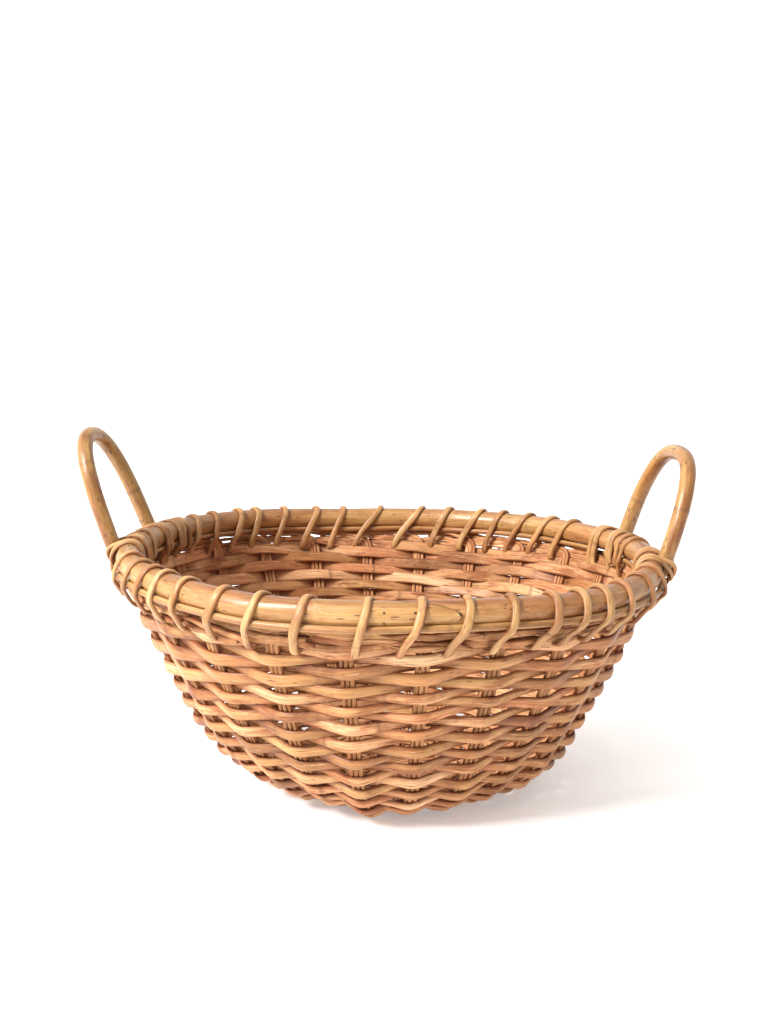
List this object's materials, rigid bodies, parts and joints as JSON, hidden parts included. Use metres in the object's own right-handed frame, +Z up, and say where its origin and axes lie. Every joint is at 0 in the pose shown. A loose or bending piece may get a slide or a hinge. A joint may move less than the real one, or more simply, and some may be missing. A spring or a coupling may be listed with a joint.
{
  "type": "winnowing basket",
  "caption": "Deep round bowl-shaped basket woven from split cane on upright splits, with a pole rim hoop bound on by a spiral peel lashing and fixed bent-rod hoop handles.",
  "frame": {"origin": "on the floor under the middle of the base, where the basket's axis meets the worn-flat underside of a base stick", "axes": "+Z up along the axis of the bowl, +X towards the handle on the right-hand side, -Y towards the front with the rim joint"},
  "size_m": [0.4694, 0.4173, 0.2669],
  "materials": {
    "hoop_pole": "satin honey cane pole with darker specks",
    "handle_rod": "satin bent cane rod",
    "rim_cane": "satin thin cane",
    "side_weaver": "half-round cane, satin skin outside, matt pith inside",
    "stake_split": "dry split cane",
    "lashing_peel": "dry cane peel, slightly cracked",
    "base_stick": "dry cane, worn flat underneath",
    "base_weaver": "thin half-round cane",
    "nail_steel": "small dull steel nails"
  },
  "bodies": {
    "root": {"rim_hoop": "hoop_pole", "rim_nails": "nail_steel", "rim_cane_outer_front": "rim_cane", "rim_cane_outer_back": "rim_cane", "rim_cane_inner": "rim_cane", "handle_right": "handle_rod", "handle_left": "handle_rod", "base_sticks_lower": "base_stick", "base_sticks_upper": "base_stick", "base_weaver_a": "base_weaver", "base_weaver_b": "base_weaver", "stake_01": "stake_split", "stake_02": "stake_split", "stake_03": "stake_split", "stake_04": "stake_split", "stake_05": "stake_split", "stake_06": "stake_split", "stake_07": "stake_split", "stake_08": "stake_split", "stake_09": "stake_split", "stake_10": "stake_split", "stake_11": "stake_split", "stake_12": "stake_split", "stake_13": "stake_split", "stake_14": "stake_split", "stake_15": "stake_split", "stake_16": "stake_split", "stake_17": "stake_split", "stake_18": "stake_split", "stake_19": "stake_split", "stake_20": "stake_split", "stake_21": "stake_split", "stake_22": "stake_split", "stake_23": "stake_split", "stake_24": "stake_split", "side_weaver_a1": "side_weaver", "side_weaver_a2": "side_weaver", "side_weaver_a3": "side_weaver", "side_weaver_a4": "side_weaver", "side_weaver_a5": "side_weaver", "side_weaver_a6": "side_weaver", "side_weaver_a7": "side_weaver", "side_weaver_b1": "side_weaver", "side_weaver_b2": "side_weaver", "side_weaver_b3": "side_weaver", "side_weaver_b4": "side_weaver", "side_weaver_b5": "side_weaver", "side_weaver_b6": "side_weaver", "side_weaver_b7": "side_weaver", "rim_lashing_right": "lashing_peel", "rim_lashing_back": "lashing_peel", "rim_lashing_left": "lashing_peel", "rim_lashing_front": "lashing_peel", "handle_binding_right_front": "lashing_peel", "handle_binding_right_back": "lashing_peel", "handle_binding_left_back": "lashing_peel", "handle_binding_left_front": "lashing_peel"}
  },
  "joints": []
}
